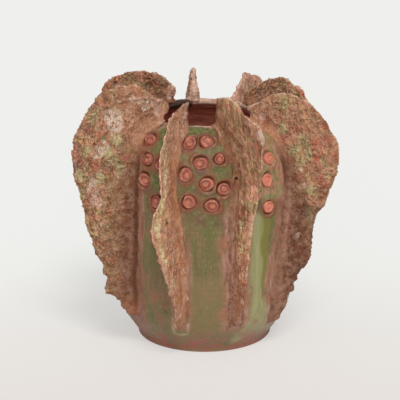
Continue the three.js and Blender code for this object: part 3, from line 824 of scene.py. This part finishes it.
def paint_fin(mesh, side, seed, p, gap, rim, skin, fold):
    """The masks that tell the fins' material where each colour goes."""
    work = WORK[side]
    x, z = p[:, 0], p[:, 2]
    blur = grain(p, 5, seed + 7)
    left, right, front_left, front_right = (side == s for s in SEEN_WHOLE)
    off_wall = smooth(1.5, 4, gap)
    root_shade = fade(4, 14, gap + 3 * blur)

    mask = partial(add_mask, mesh)
    mask("root", fade(3, 14, gap + 3 * blur))
    mask("seam", fade(0.3, 1.2, gap + 0.5 * blur))
    mask("ridge", skin)
    mask("long", np.full(len(p), float(side in UPRIGHT)))

    # The band of slip along the right fins' roots, and painted shade beside the roots and low on the right.
    mauve = np.zeros(len(p))
    if right:
        mauve = 0.7 * window(-9, 4, 1.5, gap + 2 * blur) * fade(118, 142, z)
        mauve = np.maximum(mauve, 0.55 * fade(40, 56, z + 5 * blur))
    elif front_right:
        mauve = 0.85 * window(-9, 4, 1.5, gap + blur) * fade(115, 135, z)
    mask("mauve", mauve)
    low_right = smooth(40, 52, x) * fade(106, 136, z + 8 * blur)
    low_right *= 1 - 0.35 * smooth(12, 20, gap + 3 * blur)
    shade = np.maximum(root_shade * work.dusk, low_right) * (1 - 0.9 * smooth(146, 168, z))
    if left:
        shade *= smooth(28, 54, z + 4 * blur)
    mask("dusk", shade * (1 - 0.85 * mauve))
    mask("tan", work.brown * (0.35 + 0.65 * root_shade))
    mask("umber", window(5, 15, 6, gap + 4 * blur) * (side not in UPRIGHT) * (1 - 0.8 * smooth(146, 164, z)))

    # Edges: worn arrises with a painted highlight, a painted highlight on the crests high up, red edges low
    # down.
    arris = np.maximum(window(0.1, 0.7, 0.15, rim), 0.55 * smooth(0.6, 0.9, rim)) * off_wall
    mask("wear_and_highlight", np.maximum(arris, 0.8 * fold))
    mask("crest", work.crest * smooth(0.35, 0.7, rim) * smooth(90, 125, z) * off_wall)
    red_edge = (135, 155) if front_left else (60, 120)
    low_edge = 0.65 * smooth(0.2, 0.6, rim) * fade(*red_edge, z) * off_wall
    rusty = fade(84, 108, z + 6 * blur) * front_right + fade(34, 56, z + 6 * blur) * left
    mask("rust", np.maximum(rusty, low_edge))

    # How light and how warm the faces are: random tone mixed with painted light, which lightens whole fins
    # and parts of them; the sunny mask is painted light on upper parts.
    tone = work.tone + 0.25 * grain(p, 25, seed + 11) + 0.4 * fade(80, 120, z)
    tone += 0.3 * smooth(8, 20, gap) * (side in UPRIGHT) + 0.25 * smooth(112, 128, z) * front_left
    mask("tone", tone)
    sunny = 0.5 * smooth(128, 146, z + 4 * blur) * right + 0.6 * smooth(126, 146, z + 4 * blur) * front_left
    sunny += 0.65 * smooth(150, 170, z + 4 * blur) * smooth(-72, -54, x) * left
    mask("sunny", sunny)

    # Marks and bands seen in the photograph.
    mask("pale", np.maximum(work.slip * (0.75 + 0.5 * blur), spots(p, SLIPPED, 0.5, 1.1, 0.5, blur)))
    mask("ochre", fade(2, 5, line_gap(p, OCHRE) + 1.2 * blur))
    trail = np.min([line_gap(p, line) for line in STREAKS], axis=0) + 0.8 * blur
    mask("streak", fade(1.4, 2.8, trail + 0.8 * (not front_left)))
    marked = partial(
        spots, p, inner=0.5, outer=1.15, ragged=0.35, rough=grain(p, 3.5, 2), squash=0.8, clean=SMALL_MARK
    )
    for name, marks in MARKS.items():
        mask(name, marked(marks))
    hole_gap = lengths((p - HOLE) * (0.7, 1, 1)) + 0.5 * grain(p, 1.6, 8)
    pins = marked([(*pin, PIN_RADIUS) for pin in PINS])
    mask("pin", np.maximum(pins, fade(1.1, 1.9, hole_gap)))


for order, name in enumerate(sorted(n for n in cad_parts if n.startswith("fin_"))):
    make_fin(name, 10 * order)


# The pot: turned from its profile, with throwing lines, pockets and clay drawn up to the fins

# The whitish slip round the front left fin's foot.
FOOT_SLIP = [
    (-23.6, -63.3, 32.4), (-23.9, -60.3, 23.9), (-22.2, -57.6, 18), (-18, -58.8, 17.2), (-13, -60.8, 18.8),
    (-12.6, -64.9, 27.3),
]
# Greener and redder patches of the glaze, as (x, y, z, radius).
BRIGHT = [
    (5.4, -70.6, 112.2, 3.5), (12.9, -69.8, 111.2, 3.5), (-43.3, -52.1, 33, 8), (-27.8, -63.1, 38.8, 7),
    (0.3, -69.3, 39.5, 6), (14, -68, 38, 6), (36, -57, 30, 6),
]
BLUSH = [
    (-37.7, -59.5, 48, 7), (-31.6, -62.8, 45.1, 8), (4.9, -64.2, 22, 7), (30.8, -59.9, 31.1, 6),
    (10.9, -67.3, 34, 8), (24, -64, 24, 8), (-6, -62, 16, 8), (40, -52, 22, 7), (-45, -52, 60, 8),
]


def press_pockets(q, height):
    """Presses the pellets' pockets into the wall's height field, and raises an uneven lip round each.

    Gives the stained ring round each pocket, and the worn parts of the lips, which also carry a painted
    highlight.
    """
    halo, lip_wear_and_highlight = np.zeros(len(q)), np.zeros(len(q))
    inner_edge = POCKET_RADIUS - 0.4
    for k, seat in enumerate(seats.values()):
        rel = q - seat.base
        up = rel @ seat.axis
        close = np.where((np.abs(up - POCKET_DEPTH) < 8) & (np.sum(rel**2, 1) < 16**2))[0]
        turn = 2.4 * k
        u, v = rel[close] @ seat.side - 0.45 * np.cos(turn), rel[close] @ seat.up - 0.45 * np.sin(turn)
        u, v = u / seat.size, v / seat.size
        angle = np.arctan2(v, u)
        wave = 0.06 * np.sin(2 * angle + k) + 0.04 * np.sin(3 * angle + 2.1 * k)
        r = np.hypot(u, v) / (1 + wave)
        crest = 0.45 + 0.4 * np.sin(angle + 1.7 * k)
        rise = np.interp(r, [0, inner_edge, POCKET_RADIUS + 0.2, POCKET_RADIUS + 0.9], [0, 0, 0.55, 1])
        ledge = smooth(inner_edge - 0.5, inner_edge, r)
        filled = smooth(-0.5, 0.5, -np.cos(angle - 2.3 - 0.5 * np.sin(k))) * ledge
        rise = np.maximum(rise, 0.35 * ledge + 0.58 * filled)
        hump = np.exp(-(((r - POCKET_RADIUS - 1.5) / 1.3) ** 2)) * crest * (r > inner_edge)
        height[close] = (height[close] + hump) * rise - POCKET_DEPTH * (1 - rise)
        ring = fade(POCKET_RADIUS + 1.2, POCKET_RADIUS + 4.4 + wave * 20, r)
        halo[close] = np.maximum(halo[close], ring)
        worn_and_lit = np.exp(-(((r - POCKET_RADIUS - 1.1) / 0.6) ** 2)) * smooth(0.6, 0.8, crest)
        lip_wear_and_highlight[close] = np.maximum(lip_wear_and_highlight[close], worn_and_lit)
    return halo, lip_wear_and_highlight


def make_pot():
    rows = len(profile)
    around = np.tile(np.arange(POT_COLUMNS) * 360 / POT_COLUMNS, rows)
    radius, level = np.repeat(profile, POT_COLUMNS, axis=0).T
    sideways, upward = np.repeat(directions(profile), POT_COLUMNS, axis=0).T
    p, n = at(around, radius, level), at(around, upward, -sideways)
    kind = np.repeat(kinds, POT_COLUMNS)

    out = np.where(kind == OUTSIDE)[0]
    q = p[out]
    _, fin_gap = nearest(q, np.vstack(roots))
    height = 0.3 * grain(q, 45, 1) * smooth(6, 30, q[:, 2])
    lines = np.sin(2 * np.pi * q[:, 2] / LINE_PITCH + 1.5 * grain(q * (1, 1, 0.3), 40, 2))
    height += 0.04 * lines * (0.6 + 0.4 * grain(q, 30, 3)) + 0.1 * grain(q * (1, 1, 2.2), 12, 4)
    height += 0.09 * grain(q * (1, 1, 0.15), 2.6, 5)
    height *= smooth(1, 6, q[:, 2])
    height += 0.2 * np.clip(1 - fin_gap / 6, 0, 1)
    slip = np.exp(-line_gap(q, FOOT_SLIP) ** 2)
    height += 0.9 * slip
    halo, lip_wear_and_highlight = press_pockets(q, height)
    p[out] += n[out] * height[:, None]

    inner = np.where(kind == INSIDE)[0]
    ribs = np.sin(2 * np.pi * p[inner][:, 2] / RIB_PITCH + grain(p[inner], 30, 6))
    p[inner] += n[inner] * (0.25 * ribs + 0.3 * grain(p[inner], 14, 7))[:, None]
    p[:, 2] += smooth(171, 176, p[:, 2]) * (0.6 * grain(p, 13, 8) + 0.35 * grain(p, 5, 9))

    mesh = turned_mesh("thrown vase body", p.reshape(rows, POT_COLUMNS, 3))

    def mask(name, values, middles=0.0):
        """A mask over all rows, with one value for the middles of the two fans."""
        add_mask(mesh, name, np.concatenate([values, (middles, middles)]))

    def outside(name, values):
        """A mask on the outside only."""
        whole = np.zeros(len(p))
        whole[out] = values
        mask(name, whole)

    # By bearing b and height z, both a little ragged.
    b = bearing_of(q) + 2.2 * grain(q, 14, 10)
    z = q[:, 2] + 4 * grain(q, 12, 11)
    patches = spots(q, BRIGHT, 0.4, 1, 0.3, grain(q, 3, 15))
    shoulder = np.maximum(window(-40, 50, 6, b) * smooth(100, 150, z) * 0.6, smooth(158, 168, z))
    outside("green", np.maximum(shoulder, 0.6 * patches))
    outside("belt", window(112, 152, 10, z))
    outside("blush", spots(q, BLUSH, 0.5, 1, 0.4, grain(q, 7, 16)))
    # Pale runs down the right, and a pale patch low on the right, partly glaze and partly a painted sheen.
    runs, pool_and_sheen = window(27, 36.5, 2, b) * window(12, 110, 8, z), window(24, 56, 5, b) * window(10, 42, 8, z)
    outside("celadon_and_sheen", np.maximum(runs, 0.9 * pool_and_sheen))
    outside("yellow", window(38, 41, 3, b) * window(60, 112, 14, z))
    reach = 3.5 * window(-62, -42, 3, b) - 2.5 * window(-40, -4, 2, b)
    reach += (5.5 * smooth(36, 60, z) - 3) * window(42, 60, 3, b)
    rosy = fade(2, 8, fin_gap - reach + 2 * grain(q * (1, 1, 0.4), 7, 12))
    rosy *= 1 - 0.9 * window(-34, 20, 4, b) * smooth(112, 126, z)
    rosy *= 1 - 0.3 * window(-60, -34, 3, b) * smooth(120, 134, z)
    outside("rosy", rosy)
    outside("ruddy", 0.6 * window(-68, -42, 3, b) * fade(136, 152, z))
    top_pellet = smooth(4, 9, lengths(q - (53, -52, 162)))
    outside("lit", window(38, 64, 2, b) * smooth(116, 128, z) * top_pellet)
    outside("wet", fade(20, 46, z))
    outside("low_wall", window(-22, 22, 4, b) * window(18, 62, 10, z))
    ragged = smooth(-0.6, 0.2, grain(q, 14, 17) + 0.9 * fade(3, 14, z))
    outside("foot", fade(9, 22, z) * ragged)
    outside("halo", halo)
    outside("wear_and_highlight", lip_wear_and_highlight)
    outside("slip", slip * (0.6 + 0.5 * grain(q, 3, 18)))

    # The mouth and the inside.
    edge = p[:, 2] + 0.5 * grain(p, 6, 13)
    from_axis = np.hypot(p[:, 0], p[:, 1])
    bearing = bearing_of(p)
    # Painted shade on the back left of the rim and on the inside under the back rim.
    painted_rim_shadow = 0.92 * window(-165, -112, 4, bearing) * smooth(168, 172, p[:, 2])
    painted_inner_shade = 0.35 * smooth(130, 150, np.abs(bearing)) * smooth(162, 172, edge) * (kind == INSIDE)
    mask("painted_back_shade", np.maximum(painted_rim_shadow, painted_inner_shade))
    brim = np.where(from_axis > LIP_CENTRE[0] + 1, smooth(176.7, 177.2, edge), smooth(172.6, 174.4, edge))
    mask("rim", brim * (kind < FLOOR))
    inward = (kind == LIP) & (from_axis < LIP_CENTRE[0] - 1)
    mask("bare", ((kind >= INSIDE) | (kind == BOTTOM) | inward).astype(float), 1)
    piece("vase_body", mesh, glaze, "pot_glaze", "thrown_pot")


make_pot()


# Pellets: pressed clay buttons, each a little different

PELLET_COLUMNS = 44
PELLET_ROWS = 48


def make_pellet(name, seat, rng):
    size, stretch, lean = rng.uniform(0.95, 1.04) * seat.size, rng.uniform(0.94, 1.06), rng.normal(0, 0.1, 2)
    off = rng.uniform(-1, 1, 2)
    dip, knob = rng.uniform(0.35, 0.95), rng.uniform(0.35, 0.85)
    dish = 3.0 - dip
    line = spline([
        (0.4, 0.1), (4.5, 0.1), (5.1, 0.8), (5.25, 1.8), (4.9, 2.7), (4.2, 3.2), (3.6, 3.1),
        (3.0, 3.05 - dip), (2.5, dish), (1.9, dish + 0.55 * knob), (1.2, dish + 0.9 * knob),
        (0.6, dish + knob), (0.15, 3.02 - dip + knob),
    ], PELLET_ROWS)
    r, z = np.repeat(line[:, 0], PELLET_COLUMNS), np.repeat(line[:, 1], PELLET_COLUMNS)
    a = np.tile(np.arange(PELLET_COLUMNS) * 2 * np.pi / PELLET_COLUMNS, PELLET_ROWS)
    phases = rng.uniform(0, 2 * np.pi, 3)
    wave = size * (0.98 + 0.05 * np.sin(2 * a + phases[0]) + 0.035 * np.sin(3 * a + phases[1]))
    x, y = r * wave * stretch * np.cos(a), r * wave / stretch * np.sin(a)
    inner = fade(3.0, 4.6, r) * smooth(0.8, 1.6, z)
    x, y = x + off[0] * inner, y + off[1] * inner
    z = z + (lean[0] * x + lean[1] * y) * smooth(0.2, 1, z)
    z = z + 0.35 * np.sin(a + phases[2]) * window(2.6, 4.4, 0.8, r) * smooth(0.8, 1.6, z)
    p = seat.base + np.outer(x, seat.side) + np.outer(y, seat.up) + np.outer(z, seat.axis)
    p += (0.22 * grain(p, 2.2, 3) + 0.12 * grain(p, 1.1, 4))[:, None] * seat.axis
    dent = np.stack([grain(p, 3, 5), 0.5 * grain(p, 3, 6), grain(p, 3, 7)], -1)
    p += 0.3 * dent * smooth(1, 2.4, z)[:, None]
    mesh = turned_mesh(name, p.reshape(PELLET_ROWS, PELLET_COLUMNS, 3))
    pressed = 0.25 + 0.75 * smooth(-0.4, 0.8, np.cos(a - rng.normal(2.4, 0.9)))
    # The right front pellets get painted light.
    glow = float(name.startswith("pellet_right_front"))
    # Each mask's values, and what it is at the middles of the bottom and the top.
    for mask, values, *middles in (
        ("groove", window(2.3, 3.2, 0.5, r) * (z > 1.2) * pressed, 0, 0),
        # Painted shade on the foot, down in the pocket.
        ("low", fade(0.8, 2.0, z), 0, 0),
        ("wear_and_highlight", smooth(2.7, 3.4, z), 0, 0),
        ("glow", np.full(len(z), glow), glow, glow),
        ("boss", fade(1.2, 2.4, r) * (z > 1), 0, 1),
    ):
        add_mask(mesh, mask, np.concatenate([values, middles]))
    piece(f"clay_{name}", mesh, pellet_clay, "pellet_clay", name)


rng = np.random.default_rng(4)
for name, seat in seats.items():
    make_pellet(name, seat, rng)


# Floor, light and camera. Sizes here are in metres, unless millimetres are named.

BACKDROP = (238, 239, 237)
SHEET_HALF = 4.0
SHEET_FADE = (2.2, 3.6)
WORLD_STRENGTH = 0.52
# Name, bearing, height above the level, strength, how wide it looks in degrees, and colour.
SUNS = [
    ("key softbox", 14, 54, 1.75, 22, (1, 0.985, 0.96)),
    ("fill softbox", -6, 20, 0.55, 40, (1, 0.99, 0.98)),
]
CAMERA_TARGET = (-3.5, 0, 106.6)  # mm
CAMERA_DISTANCE = 1500  # mm
CAMERA_ELEVATION = 17.3  # degrees
PICTURE_WIDTH = 312  # mm across the picture at the target
SENSOR_WIDTH = 36  # mm


def toward(bearing, elevation):
    """The direction out from the vase at a bearing and an elevation."""
    turn, height = math.radians(bearing), math.radians(elevation)
    return Vector((math.sin(turn) * math.cos(height), -math.cos(turn) * math.cos(height), math.sin(height)))


def make_floor():
    """A pale sheet that fades out far away and looks a little brighter to the camera than it is lit."""
    r = Recipe("pale paper sweep")
    away = r.add("VectorMath", {0: r.where}, operation="LENGTH").outputs["Value"]
    depth = r.add("SeparateXYZ", {0: r.where}).outputs["Y"]
    colour = r.mix(r.step(depth, -0.35, 0.25), (228, 221, 217), BACKDROP)
    r.fill(r.shader, {"Base Color": colour, "Roughness": 0.9, "Specular IOR Level": 0.1})
    glow = r.add("Emission", {"Color": colour}).outputs[0]
    to_camera = r.product(r.add("LightPath", {}).outputs["Is Camera Ray"], 0.6)
    sheet = r.add("MixShader", {0: to_camera, 1: r.shader.outputs[0], 2: glow}).outputs[0]
    clear = r.add("BsdfTransparent", {}).outputs[0]
    faded = r.add("MixShader", {0: r.step(away, *SHEET_FADE), 1: sheet, 2: clear}).outputs[0]
    r.fill(r.tree.nodes["Material Output"], {"Surface": faded})
    mesh = bpy.data.meshes.new("paper sweep")
    corners = [(SHEET_HALF * x, SHEET_HALF * y, 0) for x, y in ((-1, -1), (1, -1), (1, 1), (-1, 1))]
    mesh.from_pydata(corners, [], [(0, 1, 2, 3)])
    mesh.materials.append(r.material)
    place("paper_sweep", mesh)


def make_world():
    """Even light, and the backdrop's colour where a view or a reflection goes past the sheet."""
    world = bpy.data.worlds.new("studio")
    bpy.context.scene.world = world
    world.use_nodes = True
    n = Nodes(world.node_tree)
    light = n.tree.nodes["Background"]
    n.fill(light, {"Color": (1, 0.99, 0.975, 1), "Strength": WORLD_STRENGTH})
    ray = n.add("LightPath", {}).outputs
    seen = n.math("MAXIMUM", ray["Is Camera Ray"], ray["Is Glossy Ray"])
    seen = n.math("MAXIMUM", seen, ray["Is Transmission Ray"])
    backdrop = n.add("Background", {"Color": rgb(*BACKDROP)}).outputs[0]
    both = n.add("MixShader", {0: seen, 1: light.outputs[0], 2: backdrop}).outputs[0]
    n.fill(n.tree.nodes["World Output"], {"Surface": both})


def make_sun(name, bearing, elevation, strength, width, colour):
    lamp = bpy.data.lights.new(name, "SUN")
    lamp.energy = strength
    lamp.angle = math.radians(width)
    lamp.color = colour
    place(name, lamp).rotation_euler = toward(bearing, elevation).to_track_quat("Z", "Y").to_euler()


def make_camera():
    """The photograph's view."""
    data = bpy.data.cameras.new("photo view")
    data.sensor_width = SENSOR_WIDTH
    data.lens = SENSOR_WIDTH * CAMERA_DISTANCE / PICTURE_WIDTH
    data.clip_start, data.clip_end = 0.05, 20
    camera = place("photo_view", data)
    back = toward(0, CAMERA_ELEVATION)
    camera.location = (Vector(CAMERA_TARGET) + back * CAMERA_DISTANCE) * MM
    camera.rotation_euler = back.to_track_quat("Z", "Y").to_euler()
    bpy.context.scene.camera = camera


make_floor()
make_world()
for sun in SUNS:
    make_sun(*sun)
make_camera()
bpy.context.scene.view_settings.view_transform = "Standard"

bpy.context.view_layer.update()
